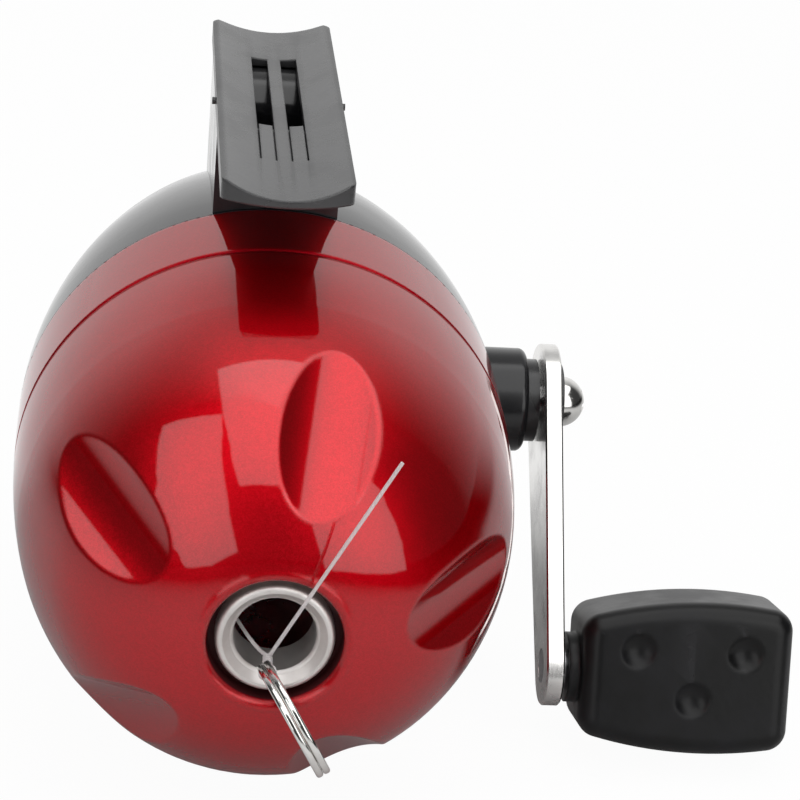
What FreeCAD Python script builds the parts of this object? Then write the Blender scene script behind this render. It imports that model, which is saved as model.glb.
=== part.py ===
import FreeCAD, Part
import math
import os
import re
import Sketcher

# A closed-face reel for a slingshot, foot uppermost.
# +X is the crank side, -Y the nose where the line leaves, +Z the saddle of the foot.
# The origin lies in the plane of the foot's side lands, over the middle of the saddle.
# Every piece is drawn in the reel's own axes: Y along the main shaft, with y = 0 at the cover's seam.

SIZES = {
    # Where the main axis and the seam lie from the origin
    "foot_rise": 11.0,
    "axis_drop": "=belly_r + foot_rise",
    "seam_ahead": 17.65,
    # Outer form of the housing, as radii at stations along the axis
    "belly_r": 27.95,
    "brow_y": 12.0,
    "brow_in": 1.03,
    "brow_r": "=belly_r - brow_in",
    "shoulder_y": 25.0,
    "shoulder_in": 5.15,
    "shoulder_r": "=belly_r - shoulder_in",
    "nose_y": 35.95,
    "nose_r": 8.2,
    "belly_curve": 94.0,
    "brow_curve": 42.6,
    "nose_curve": 20.6,
    "nose_lip": 0.75,
    "cover_wall": 3.2,
    "seam_gap": 0.6,
    "seam_step": 0.75,
    "recess_r": 6.98,
    "recess_deep": 2.5,
    "web_thick": 2.1,
    # Scoops round the front cover
    "scoop_count": 5,
    "scoop_y": 31.77,
    "scoop_in": 1.74,
    "scoop_r": "=belly_r - scoop_in",
    "scoop_round": 0.6,
    "scoop_long": 14.0,
    "scoop_fat": 8.6,
    "scoop_pitch_angle": -37.8,
    "scoop_start_angle": -5.2,
    # Line guide and its retainer
    "guide_r": 6.1,
    "guide_bore_r": 4.24,
    "guide_tube_r": 4.95,
    "guide_proud": 2.0,
    "guide_dish": 0.85,
    "retainer_r": 7.4,
    "retainer_thick": 1.2,
    # Red collar behind the seam
    "collar_long": 11.7,
    "collar_wall": 1.95,
    "lip_in": 2.65,
    "lip_r": "=belly_r - lip_in",
    "lip_thick": 2.1,
    # Rear body
    "waist_y": 30.0,
    "waist_in": 2.43,
    "waist_r": "=belly_r - waist_in",
    "hip_y": 43.2,
    "hip_in": 6.55,
    "hip_r": "=belly_r - hip_in",
    "tail_y": 54.0,
    "tail_r": 12.9,
    "waist_curve": 86.0,
    "hip_curve": 113.0,
    "tail_curve": 22.1,
    "shell_wall": 2.4,
    "tail_wall": 4.0,
    # Deck that carries the spool, and its screws
    "deck_thick": 2.0,
    "deck_gap": 0.2,
    "deck_r": "=belly_r - collar_wall - deck_gap",
    "rim_long": 7.4,
    "rim_wall": 1.0,
    "hub_r": 6.0,
    "hub_long": 11.2,
    "screw_in": 7.25,
    "screw_circle": "=belly_r - screw_in",
    "post_r": 3.3,
    "post_long": 17.0,
    "screw_r": 1.1,
    "screw_head_r": 2.1,
    "screw_head": 1.3,
    "screw_long": 8.0,
    "deck_screws": 3,
    # Spool
    "spool_r": 15.0,
    "spool_core_r": 9.0,
    "spool_long": 10.0,
    "flange_thick": 1.0,
    "winding_r": 13.2,
    "clip_thick": 0.6,
    # Main shaft, pinion, rotor
    "shaft_r": 1.8,
    "shaft_front": 22.6,
    "shaft_rear": 51.2,
    "run_gap": 0.05,
    "flat_y": 1.35,
    "journal_r": 3.0,
    "bush_r": 4.4,
    "pinion_teeth": 10,
    "gear_teeth": 30,
    "tooth_module": 1.0,
    "pinion_face": 3.2,
    "rotor_front": 18.5,
    "rotor_r": 17.3,
    "rotor_wall": 1.4,
    "rotor_long": 11.5,
    "rotor_web": 2.0,
    "rotor_round": 2.4,
    "rotor_hub_r": 5.0,
    "rotor_hub_long": 6.2,
    "nut_flats": 6.4,
    "nut_thick": 2.6,
    "pin_r": 0.75,
    "pin_y": 13.6,
    "pin_proud": 2.0,
    "pin_long": 9.6,
    # Bridge behind the gears, thumb button
    "bridge_y": 41.3,
    "bridge_thick": 1.8,
    "bridge_in": 5.4,
    "bridge_half": "=hip_r - bridge_in",
    "bridge_post_r": 3.0,
    "bridge_wide": 8.0,
    "bridge_post": 2.6,
    "rear_bush_r": 2.9,
    "button_r": 11.2,
    "button_gap": 0.25,
    "button_end": 58.6,
    "button_rise": 2.6,
    "button_wall": 1.8,
    "button_flange_r": 12.3,
    "button_flange": 1.2,
    "button_hub_r": 4.4,
    "button_travel": 4.0,
    "spring_r": 7.2,
    "spring_wire": 0.9,
    # Crank train
    "crank_y": 23.9,
    "boss_r": 6.25,
    "boss_proud": 4.25,
    "boss_end": "=belly_r + boss_proud",
    "boss_round": 0.9,
    "boss_in": 18.5,
    "crank_bush_r": 4.0,
    "bush_flange_r": 5.0,
    "crank_shaft_r": 2.5,
    "gear_back": 8.6,
    "ratchet_x": 13.6,
    "ratchet_r": 7.6,
    "ratchet_step": 1.1,
    "ratchet_teeth": 12,
    "ratchet_thick": 1.6,
    "pawl_y": 30.4,
    "pawl_z": 10.2,
    "pawl_pin_r": 1.1,
    "pawl_eye_r": 2.3,
    "pawl_tip": 8.5,
    "lug_r": 2.6,
    "arm_proud": 5.95,
    "arm_x": "=belly_r + arm_proud",
    "arm_thick": 2.1,
    "arm_long": 33.3,
    "arm_hub_r": 6.9,
    "arm_end_r": 4.6,
    "arm_lean_angle": 46.5,
    "washer_r": 4.6,
    "washer_thick": 0.65,
    "crank_screw_r": 1.45,
    "crank_head_r": 3.15,
    "crank_head": 3.1,
    # Knob
    "rivet_r": 2.0,
    "spindle_r": 1.6,
    "knob_proud": 9.85,
    "knob_x": "=belly_r + knob_proud",
    "knob_long": 24.8,
    "knob_small": 13.4,
    "knob_tall": 17.2,
    "knob_end": 16.0,
    "knob_thick": 12.0,
    "knob_tilt_angle": 18.0,
    "knob_round": 2.2,
    "knob_corner": 2.6,
    "knob_crown": 50.0,
    "knob_neck_r": 4.1,
    "dimple_r": 3.1,
    "dimple_deep": 0.85,
    "dimple_near": 6.5,
    "dimple_far": 19.0,
    "dimple_mid": 13.1,
    "dimple_up": 3.4,
    "dimple_low": 2.2,
    # Foot
    "plate_wide": 14.1,
    "plate_front": 10.3,
    "plate_back": 45.6,
    "plate_thick": 2.2,
    "plate_bow": 2.1,
    "saddle_r": 15.5,
    "land_wide": 0.7,
    "slot_wide": 1.9,
    "slot_front": 1.5,
    "slot_back": 35.3,
    "slot_rib": 1.5,
    "stem_wide": 14.0,
    "stem_front": 12.0,
    "stem_back": 39.4,
    "stem_wall": 1.7,
    "finger_gap": 0.2,
    "finger_back": 12.4,
    "groove_floor": 0.35,
    "key_wide": 1.8,
    "key_deep": 1.2,
    "key_back": 28.0,
    "stem_sunk": 9.95,
    "stem_low": "=belly_r - stem_sunk",
    "floor_rise": 1.65,
    "stem_floor": "=belly_r + floor_rise",
    "rib_y": 34.4,
    "rib_rise": 3.65,
    "rib_z": "=belly_r + rib_rise",
    "rib_r": 5.0,
    "foot_screw_gap": 20.0,
    "foot_screw_y": 17.0,
    "foot_screw_long": 4.1,
    "nub_y": 19.1,
    "nub_r": 0.4,
    "nub_proud": 0.45,
    # Line, knot and split ring
    "line_r": 0.2,
    "knot_x": -0.70,
    "knot_y": -37.60,
    "knot_z": -2.49,
    "knot_r": 0.6,
    "knot_long": 1.5,
    "eye_r": 0.80,
    "eye_yaw_angle": -6.82,
    "eye_pitch_angle": -16.68,
    "eye_roll_angle": -71.11,
    "ring_r": 6.0,
    "ring_thick": 0.74,
    "ring_wire": 0.74,
    "ring_lane": 0.38,
    "ring_step_angle": 44.0,
    "ring_yaw_angle": 14.58,
    "ring_pitch_angle": -27.99,
    "ring_roll_angle": -64.70,
}

doc = FreeCAD.newDocument("slingshot_reel")
sheet = doc.addObject("Spreadsheet::Sheet", "Sizes")


def fill_sheet():
    for row, alias in enumerate(SIZES, start=1):
        sheet.set("A%d" % row, alias.replace("_", " "))
        sheet.setAlias("B%d" % row, alias)
    for row, number in enumerate(SIZES.values(), start=1):
        sheet.set("B%d" % row, str(number))
    doc.recompute()


fill_sheet()
probe = doc.addObject("App::FeaturePython", "Probe")


def bound(text):
    """The expression with each size's name pointing at its cell."""
    return re.sub(
        r"[a-z][a-z_]*",
        lambda word: "Sizes." + word.group(0) if word.group(0) in SIZES else word.group(0),
        text,
    )


def value(text):
    return float(probe.evalExpression(bound(text)))


# Sketches, whose corners and radii are expressions on the sheet

def plane(body, role):
    return next(item for item in body.Origin.OriginFeatures if item.Role == role)


def new_sketch(body, role, shift=("0", "0", "0"), turn=None):
    sketch = body.newObject("Sketcher::SketchObject", body.Name + "_sketch")
    sketch.AttachmentSupport = [(plane(body, role), "")]
    sketch.MapMode = "FlatFace"
    if turn:
        sketch.AttachmentOffset = FreeCAD.Placement(FreeCAD.Vector(), FreeCAD.Rotation(*turn))
    for axis, text in zip("xyz", shift):
        if text != "0":
            sketch.setExpression("AttachmentOffset.Base." + axis, bound(text))
    return sketch


def fix(sketch, kind, text, *where):
    """Adds a constraint whose number follows the sheet."""
    index = sketch.addConstraint(Sketcher.Constraint(kind, *where, value(text)))
    if re.search(r"[a-z]", text):
        sketch.setExpression("Constraints[%d]" % index, bound(text))


def arc_through(start, end, radius):
    """Minor arc from start to end. A radius over 0 bulges to the left of the way there."""
    mid = (start + end) * 0.5
    half = (end - start) * 0.5
    reach = math.sqrt(max(radius * radius - half.Length ** 2, 0.0))
    right = FreeCAD.Vector(half.y, -half.x, 0).normalize()
    centre = mid + right * math.copysign(reach, radius)
    ends = [math.atan2(p.y - centre.y, p.x - centre.x) for p in (start, end)]
    forward = radius < 0
    if not forward:
        ends.reverse()
    if ends[1] < ends[0]:
        ends[1] += 2 * math.pi
    circle = Part.Circle(centre, FreeCAD.Vector(0, 0, 1), abs(radius))
    return Part.ArcOfCircle(circle, ends[0], ends[1]), forward


def outline(sketch, corners):
    """Closed loop. A corner is (x, y), or (x, y, radius, side) where an arc runs to the next."""
    points = [FreeCAD.Vector(value(corner[0]), value(corner[1]), 0) for corner in corners]
    firsts, lasts, indices = [], [], []
    for number, corner in enumerate(corners):
        start, end = points[number], points[(number + 1) % len(points)]
        forward = True
        if len(corner) > 2:
            shape, forward = arc_through(start, end, corner[3] * value(corner[2]))
        else:
            shape = Part.LineSegment(start, end)
        indices.append(sketch.addGeometry(shape, False))
        firsts.append(1 if forward else 2)
        lasts.append(2 if forward else 1)
    for number, corner in enumerate(corners):
        after = (number + 1) % len(corners)
        meeting = (indices[number], lasts[number], indices[after], firsts[after])
        sketch.addConstraint(Sketcher.Constraint("Coincident", *meeting))
        spot = (-1, 1, indices[number], firsts[number])
        fix(sketch, "DistanceX", corner[0], *spot)
        fix(sketch, "DistanceY", corner[1], *spot)
        if len(corner) > 2:
            fix(sketch, "Radius", corner[2], indices[number])


def circle(sketch, x, y, radius):
    centre = FreeCAD.Vector(value(x), value(y), 0)
    index = sketch.addGeometry(Part.Circle(centre, FreeCAD.Vector(0, 0, 1), value(radius)), False)
    fix(sketch, "DistanceX", x, -1, 1, index, 3)
    fix(sketch, "DistanceY", y, -1, 1, index, 3)
    fix(sketch, "Radius", radius, index)


def box_outline(sketch, x_low, x_high, y_low, y_high):
    outline(sketch, [(x_low, y_low), (x_high, y_low), (x_high, y_high), (x_low, y_high)])


# Bodies and their features

def new_body(name):
    return doc.addObject("PartDesign::Body", name)


def turned(body, corners, axis="V_Axis", cut=False, role="XY_Plane", **where):
    """Round form: the corners' closed outline turned about the sketch's axis."""
    sketch = new_sketch(body, role, **where)
    outline(sketch, corners)
    kind = "PartDesign::Groove" if cut else "PartDesign::Revolution"
    feature = body.newObject(kind, body.Name + "_turned")
    feature.Profile = sketch
    feature.ReferenceAxis = (sketch, [axis])
    feature.Angle = 360
    return feature


def stretch(body, kind, role, draw, low, high):
    """Straight feature between two stations along the plane's axis."""
    sketch = new_sketch(body, role)
    draw(sketch)
    facing_back = role == "XZ_Plane"
    from_high = facing_back == (kind == "PartDesign::Pad")
    start = high if from_high else low
    start = "-(%s)" % start if facing_back else start
    sketch.setExpression("AttachmentOffset.Base.z", bound(start))
    feature = body.newObject(kind, body.Name + "_run")
    feature.Profile = sketch
    feature.setExpression("Length", bound("(%s) - (%s)" % (high, low)))
    return feature


def add(body, role, draw, low, high):
    return stretch(body, "PartDesign::Pad", role, draw, low, high)


def cut(body, role, draw, low, high):
    return stretch(body, "PartDesign::Pocket", role, draw, low, high)


def around(body, feature, count, role):
    """Repeats a feature evenly round one of the body's own axes."""
    pattern = body.newObject("PartDesign::PolarPattern", body.Name + "_round")
    pattern.Originals = [feature]
    pattern.Axis = (plane(body, role), [""])
    pattern.Angle = 360
    pattern.setExpression("Occurrences", bound(count))
    body.Tip = pattern
    return pattern


def ring(body, inner, outer, low, high):
    """Plain turned ring about the main axis."""
    turned(body, [(inner, low), (outer, low), (outer, high), (inner, high)])
    return body


def round_at(x, y, radius):
    return lambda sketch: circle(sketch, x, y, radius)


def box_at(x_low, x_high, y_low, y_high):
    return lambda sketch: box_outline(sketch, x_low, x_high, y_low, y_high)


# Stations shared by neighbours

DECK_FRONT = "(seam_gap / 2 + lip_thick)"
DECK_BACK = "(seam_gap / 2 + lip_thick + deck_thick)"
BRIDGE_BACK = "(bridge_y + bridge_thick)"
LUG_X = "(ratchet_x + ratchet_thick + 0.3)"
GEAR_R = "(gear_teeth * tooth_module / 2)"
PINION_R = "(pinion_teeth * tooth_module / 2)"
MESH_Y = "(crank_y - gear_teeth * tooth_module / 2)"
SPOOL_FRONT = "(-hub_long + clip_thick)"
ARM_OUT = "(arm_x + arm_thick)"
HEAD_X = "(arm_x + arm_thick + washer_thick)"
TAIL_IN = "(tail_y - tail_wall)"
PLATE_LOW = "(axis_drop - plate_thick)"
KNOB_Y = "crank_y - arm_long * sin(arm_lean_angle * 1deg)"
KNOB_Z = "-arm_long * cos(arm_lean_angle * 1deg)"
FOOT_SCREWS = ("foot_screw_y", "(foot_screw_y + foot_screw_gap)")

PIECES = []


def piece(thing, spot=("0", "0", "0"), turn=("0", (1, 0, 0))):
    """Sets a finished piece in the reel: spot is in the reel's own axes."""
    angle, axis = turn
    turning = FreeCAD.Rotation(FreeCAD.Vector(*axis), value(angle))
    thing.Label = thing.Name
    thing.Placement = FreeCAD.Placement(FreeCAD.Vector(), turning)
    thing.setExpression("Placement.Base.x", bound(spot[0]))
    thing.setExpression("Placement.Base.y", bound(spot[1] + " - seam_ahead"))
    thing.setExpression("Placement.Base.z", bound(spot[2] + " - axis_drop"))
    if angle != "0":
        thing.setExpression("Placement.Rotation.Angle", bound("(%s) * 1deg" % angle))
    PIECES.append(thing)


# Front cover and what sits in its nose

def front_cover():
    body = new_body("front_cover")
    web = "-nose_y + recess_deep"
    turned(body, [
        ("belly_r - 0.05", "-seam_gap / 2", "belly_curve", 1),
        ("brow_r", "-brow_y", "brow_curve", 1),
        ("shoulder_r", "-shoulder_y", "nose_curve", 1),
        ("nose_r", "-nose_y", "nose_lip", 1),
        ("recess_r", "-nose_y + nose_lip"),
        ("recess_r", web),
        ("guide_tube_r + run_gap", web),
        ("guide_tube_r + run_gap", web + " + web_thick"),
        ("nose_r + 1.6", web + " + web_thick", "nose_curve - cover_wall", -1),
        ("shoulder_r - cover_wall * 0.893", "-shoulder_y + cover_wall * 0.451", "brow_curve - cover_wall", -1),
        ("brow_r - cover_wall * 0.989", "-brow_y + cover_wall * 0.145"),
        ("belly_r - cover_wall", "-seam_gap / 2"),
    ])
    scoops = around(body, scoop_cut(body), "scoop_count", "Y_Axis")
    ease(body, scoops, "PartDesign::Fillet", "scoop_round", scoop_rim)
    return body


def scoop_rim(edge):
    """True for the rim of a scoop: an outer edge that no plane round the shaft holds."""
    points = edge.discretize(5)
    across = [math.hypot(point.x, point.z) for point in points]
    level = max(point.y for point in points) - min(point.y for point in points) < 1e-3
    return not level and min(across) > value("nose_r + 1")


def scoop_cut(body):
    """Straight round cutter laid along the nose, its axis in the plane of the main shaft."""
    sketch = body.newObject("Sketcher::SketchObject", "scoop_sketch")
    sketch.AttachmentSupport = [(plane(body, "XY_Plane"), "")]
    sketch.MapMode = "FlatFace"
    outline(sketch, [
        ("0", "-scoop_long"),
        ("scoop_fat", "-scoop_long"),
        ("scoop_fat", "scoop_long"),
        ("0", "scoop_long"),
    ])
    spin = FreeCAD.Rotation(FreeCAD.Vector(0, 1, 0), value("scoop_start_angle"))
    pitch = FreeCAD.Rotation(FreeCAD.Vector(0, 0, 1), value("scoop_pitch_angle"))
    spot = FreeCAD.Vector(value("scoop_r"), -value("scoop_y"), 0)
    sketch.AttachmentOffset = FreeCAD.Placement(spin.multVec(spot), spin.multiply(pitch))
    groove = body.newObject("PartDesign::Groove", "scoop")
    groove.Profile = sketch
    groove.ReferenceAxis = (sketch, ["V_Axis"])
    groove.Angle = 360
    return groove


def line_guide():
    """Steel eyelet: dished flange in the recess, tube through the web."""
    body = new_body("line_guide")
    seat = "-nose_y + recess_deep"
    turned(body, [
        ("guide_bore_r", seat + " - guide_proud + guide_dish + 0.35", "0.6", -1),
        ("guide_bore_r + 0.35", seat + " - guide_proud + guide_dish"),
        ("guide_r - 0.75", seat + " - guide_proud + 0.05", "0.6", -1),
        ("guide_r", seat + " - guide_proud + 0.5"),
        ("guide_r", seat),
        ("guide_tube_r", seat),
        ("guide_tube_r", seat + " + web_thick + retainer_thick + 0.3"),
        ("guide_bore_r", seat + " + web_thick + retainer_thick + 0.3"),
    ])
    return body


def guide_retainer():
    body = new_body("guide_retainer")
    turned(body, [
        ("guide_tube_r + 0.02", "-nose_y + recess_deep + web_thick"),
        ("retainer_r", "-nose_y + recess_deep + web_thick"),
        ("retainer_r", "-nose_y + recess_deep + web_thick + retainer_thick"),
        ("guide_tube_r + 0.02", "-nose_y + recess_deep + web_thick + retainer_thick"),
    ])
    return body


# Collar, rear body, deck

def cover_collar():
    body = new_body("cover_collar")
    turned(body, [
        ("lip_r", "-seam_gap / 2"),
        ("belly_r - seam_step", "-seam_gap / 2"),
        ("belly_r - seam_step", "seam_gap / 2"),
        ("belly_r - 0.05", "seam_gap / 2", "belly_curve * 3", -1),
        ("belly_r", "collar_long"),
        ("belly_r - collar_wall", "collar_long"),
        ("belly_r - collar_wall", "seam_gap / 2 + lip_thick"),
        ("lip_r", "seam_gap / 2 + lip_thick"),
    ])
    return body


def rear_body():
    """Black shell: collar end open, crank boss on +X, button bore at the tail."""
    body = new_body("rear_body")
    turned(body, [
        ("belly_r", "collar_long"),
        ("belly_r - shell_wall", "collar_long", "waist_curve - shell_wall", -1),
        ("waist_r - shell_wall * 0.97", "waist_y - shell_wall * 0.24", "hip_curve - shell_wall", -1),
        ("hip_r - shell_wall * 0.935", "hip_y - shell_wall * 0.355", "tail_curve", -1),
        ("tail_r + 1.2", TAIL_IN),
        ("button_r + button_gap", TAIL_IN),
        ("button_r + button_gap", "tail_y + 0.3"),
        ("tail_r - 0.7", "tail_y + 0.3", "0.8", 1),
        ("tail_r", "tail_y - 0.3", "tail_curve", 1),
        ("hip_r", "hip_y", "hip_curve", 1),
        ("waist_r", "waist_y", "waist_curve", 1),
    ])
    boss = add(body, "YZ_Plane", round_at("crank_y", "0", "boss_r"), "boss_in", "boss_end")
    outermost = lambda edge: edge.BoundBox.XMin > value("boss_end") - 0.01
    ease(body, boss, "PartDesign::Fillet", "boss_round", outermost)
    post = add(body, "XZ_Plane", round_at("0", "-screw_circle", "post_r"), DECK_BACK, DECK_BACK + " + post_long")
    around(body, post, "deck_screws", "Y_Axis")
    web = box_at("-post_r * 0.7", "post_r * 0.7", "-belly_r + shell_wall - 0.8", "-screw_circle")
    rib = add(body, "XZ_Plane", web, "collar_long + 0.2", DECK_BACK + " + post_long")
    around(body, rib, "deck_screws", "Y_Axis")
    for side in ("-1", "1"):
        place = side + " * bridge_half"
        add(body, "XZ_Plane", round_at("0", place, "bridge_post_r"), BRIDGE_BACK, BRIDGE_BACK + " + bridge_post")
        cut(body, "XZ_Plane", round_at("0", place, "screw_r"), BRIDGE_BACK, BRIDGE_BACK + " + bridge_post - 1")
    add(body, "YZ_Plane", round_at("pawl_y", "pawl_z", "lug_r"), LUG_X, "waist_r * 0.8")
    cut(body, "YZ_Plane", round_at("crank_y", "0", "crank_bush_r"), "0", "boss_end + 1")
    cut(body, "YZ_Plane", round_at("pawl_y", "pawl_z", "pawl_pin_r"), LUG_X, LUG_X + " + 4")
    hole = cut(body, "XZ_Plane", round_at("0", "-screw_circle", "screw_r"), DECK_BACK, DECK_BACK + " + screw_long")
    around(body, hole, "deck_screws", "Y_Axis")
    for place in FOOT_SCREWS:
        cut(body, "XY_Plane", round_at("0", place, "screw_r"), "belly_r - 8", "belly_r + 2")
    return body


def deck_frame():
    """Disc behind the spool, threaded rim for the cover, tube for the spool and pinion."""
    body = new_body("deck_frame")
    rim_out = "belly_r - cover_wall - 0.75"
    rim_in = rim_out + " - rim_wall"
    turned(body, [
        ("bush_r", "-hub_long"),
        ("hub_r", "-hub_long"),
        ("hub_r", DECK_FRONT),
        (rim_in, DECK_FRONT),
        (rim_in, DECK_FRONT + " - rim_long"),
        (rim_out, DECK_FRONT + " - rim_long"),
        (rim_out, DECK_FRONT),
        ("deck_r", DECK_FRONT),
        ("deck_r", DECK_BACK),
        ("bush_r", DECK_BACK),
    ])
    hole = cut(body, "XZ_Plane", round_at("0", "-screw_circle", "screw_r + 0.1"), DECK_FRONT, DECK_BACK)
    around(body, hole, "deck_screws", "Y_Axis")
    return body


def front_bush():
    return ring(new_body("front_bush"), "journal_r + run_gap", "bush_r", "-hub_long + 6", DECK_BACK)


# Spool and its line

def spool():
    body = new_body("spool")
    back = SPOOL_FRONT + " + spool_long"
    turned(body, [
        ("hub_r + 0.02", SPOOL_FRONT),
        ("spool_r", SPOOL_FRONT),
        ("spool_r", SPOOL_FRONT + " + flange_thick"),
        ("spool_core_r", SPOOL_FRONT + " + flange_thick"),
        ("spool_core_r", back + " - flange_thick"),
        ("spool_r", back + " - flange_thick"),
        ("spool_r", back),
        ("hub_r + 0.02", back),
    ])
    return body


def line_winding():
    low = SPOOL_FRONT + " + flange_thick + 0.02"
    high = SPOOL_FRONT + " + spool_long - flange_thick - 0.02"
    return ring(new_body("line_winding"), "spool_core_r + 0.02", "winding_r", low, high)


def spool_clip():
    return ring(new_body("spool_clip"), "hub_r + 0.02", "hub_r + 1.6", "-hub_long + 0.05", SPOOL_FRONT + " - 0.02")


# Main shaft, rotor and pinion

def flatted(sketch, radius, flat):
    """Round section with two flats, above and below."""
    reach = "sqrt((%s) ^ 2 - (%s) ^ 2)" % (radius, flat)
    outline(sketch, [
        ("-" + reach, "-(%s)" % flat),
        (reach, "-(%s)" % flat, radius, -1),
        (reach, flat),
        ("-" + reach, flat, radius, -1),
    ])


def main_shaft():
    body = new_body("main_shaft")
    turned(body, [
        ("0", "-shaft_front"),
        ("shaft_r - 0.3", "-shaft_front"),
        ("shaft_r", "-shaft_front + 0.3"),
        ("shaft_r", "shaft_rear - 0.3"),
        ("shaft_r - 0.3", "shaft_rear"),
        ("0", "shaft_rear"),
    ])
    for low, high in (("flat_y", "shaft_r + 1"), ("-shaft_r - 1", "-flat_y")):
        cut(body, "XZ_Plane", box_at("-shaft_r - 1", "shaft_r + 1", low, high), "-rotor_front", "crank_y")
    return body


def pinion_gear():
    """Teeth beside the drive gear, journal in the deck's bush, flatted bore on the shaft."""
    body = new_body("pinion_gear")
    root = PINION_R + " - tooth_module"
    low = MESH_Y + " - pinion_face / 2"
    high = MESH_Y + " + pinion_face / 2"
    turned(body, [
        ("0", "-hub_long + 6"),
        ("journal_r", "-hub_long + 6"),
        ("journal_r", DECK_BACK + " + 0.3"),
        (root, DECK_BACK + " + 0.3"),
        (root, high),
        ("journal_r", high),
        ("journal_r", high + " + 2.5"),
        ("0", high + " + 2.5"),
    ])
    tooth = add(body, "XZ_Plane", pinion_tooth, low, high)
    around(body, tooth, "pinion_teeth", "Y_Axis")
    bore = lambda sketch: flatted(sketch, "shaft_r + run_gap", "flat_y + run_gap")
    cut(body, "XZ_Plane", bore, "-hub_long + 5", high + " + 3")
    return body


def pinion_tooth(sketch):
    """One tooth towards the drive gear: half thicknesses from root to tip."""
    profile = [(-1.15, 0.58), (-0.3, 0.62), (0.0, 0.6), (0.4, 0.46), (0.72, 0.28)]
    right = [(PINION_R + " + tooth_module * %s" % out, "tooth_module * %s" % half) for out, half in profile]
    left = [(out, "-" + half) for out, half in right]
    outline(sketch, left + right[::-1])


def rotor():
    """Cup over the spool, turned by the shaft, with a guide block for the pickup pin."""
    body = new_body("rotor")
    inner = "rotor_r - rotor_wall"
    back = "-rotor_front + rotor_long"
    hub_back = "-rotor_front + rotor_hub_long"
    turned(body, [
        ("0", "-rotor_front"),
        ("rotor_r - rotor_round", "-rotor_front", "rotor_round", -1),
        ("rotor_r", "-rotor_front + rotor_round"),
        ("rotor_r", back),
        (inner, back),
        (inner, "-rotor_front + rotor_web"),
        ("rotor_hub_r", "-rotor_front + rotor_web"),
        ("rotor_hub_r", hub_back),
        ("0", hub_back),
    ])
    block = box_at("-pin_r - 1.5", "pin_r + 1.5", "-rotor_front + 1", "-pin_y + 2")
    add(body, "XY_Plane", block, "-rotor_r + 0.7", "-rotor_hub_r - 3")
    cut(body, "XY_Plane", round_at("0", "-pin_y", "pin_r + run_gap"), "-rotor_r - 1", "-rotor_hub_r - 2")
    bore = lambda sketch: flatted(sketch, "shaft_r + 0.02", "flat_y + 0.02")
    cut(body, "XZ_Plane", bore, "-rotor_front - 1", hub_back + " + 1")
    return body


def rotor_nut():
    body = new_body("rotor_nut")
    corner = "nut_flats / sqrt(3)"
    def hexagon(sketch):
        outline(sketch, [
            ("%s * cos(%d * 1deg)" % (corner, turn), "%s * sin(%d * 1deg)" % (corner, turn))
            for turn in range(30, 390, 60)
        ])
    low = "-rotor_front - nut_thick"
    add(body, "XZ_Plane", hexagon, low, "-rotor_front")
    cut(body, "XZ_Plane", round_at("0", "0", "shaft_r + 0.02"), low + " - 1", "-rotor_front + 1")
    return body


def pickup_pin():
    """Pin that catches the line, standing out below the rotor's skirt."""
    body = new_body("pickup_pin")
    out = "-rotor_r - pin_proud"
    turned(body, [
        ("0", out),
        ("pin_r - 0.3", out, "0.3", -1),
        ("pin_r", out + " + 0.3"),
        ("pin_r", out + " + pin_long"),
        ("0", out + " + pin_long"),
    ], role="XZ_Plane")
    return body


# Bridge, button and its spring

def bearing_bridge():
    body = new_body("bearing_bridge")
    tall = "(bridge_half + 2.2)"
    add(body, "XZ_Plane", box_at("-bridge_wide / 2", "rear_bush_r + 0.6", "-" + tall, tall), "bridge_y", BRIDGE_BACK)
    cut(body, "XZ_Plane", round_at("0", "0", "rear_bush_r"), "bridge_y - 1", BRIDGE_BACK + " + 1")
    for side in ("-1", "1"):
        hole = round_at("0", side + " * bridge_half", "screw_r + 0.1")
        cut(body, "XZ_Plane", hole, "bridge_y - 1", BRIDGE_BACK + " + 1")
    return body


def rear_bush():
    return ring(new_body("rear_bush"), "shaft_r + run_gap", "rear_bush_r", "bridge_y", BRIDGE_BACK)


def pan_screw(name, length):
    """Small screw along +Y, its head's seat at y = 0."""
    body = new_body(name)
    turned(body, [
        ("0", "-screw_head"),
        ("screw_head_r - 0.6", "-screw_head", "0.8", -1),
        ("screw_head_r", "-screw_head + 0.6"),
        ("screw_head_r", "0"),
        ("screw_r - 0.02", "0"),
        ("screw_r - 0.02", length),
        ("0", length),
    ])
    slot = box_at("-0.3", "0.3", "-screw_head_r - 1", "screw_head_r + 1")
    cut(body, "XZ_Plane", slot, "-screw_head - 0.5", "-screw_head + 0.5")
    return body


def group(name, body, places):
    """One node of several separate solids, each a copy of a small part: (spot, turn, axis)."""
    doc.recompute()
    solids = []
    for spot, turn, axis in places:
        copy = body.Shape.copy()
        place = FreeCAD.Vector(*[value(text) for text in spot])
        spin = FreeCAD.Rotation(FreeCAD.Vector(*axis), turn)
        copy.Placement = FreeCAD.Placement(place, spin)
        solids.append(copy)
    node = doc.addObject("Part::Feature", name)
    node.Shape = Part.makeCompound(solids)
    return node


def deck_screws():
    screw = pan_screw("deck_screw", "deck_thick + screw_long - 1")
    count = int(value("deck_screws"))
    places = []
    for number in range(count):
        angle = math.radians(360.0 * number / count)
        across = "screw_circle * %r" % math.sin(angle)
        up = "-screw_circle * %r" % math.cos(angle)
        places.append(((across, DECK_FRONT, up), 0, (0, 1, 0)))
    return group("deck_screws_set", screw, places)


def bridge_screws():
    screw = pan_screw("bridge_screw", "bridge_thick + bridge_post - 1.2")
    places = [(("0", "bridge_y", side + " * bridge_half"), 0, (0, 1, 0)) for side in ("-1", "1")]
    return group("bridge_screws", screw, places)


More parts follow.
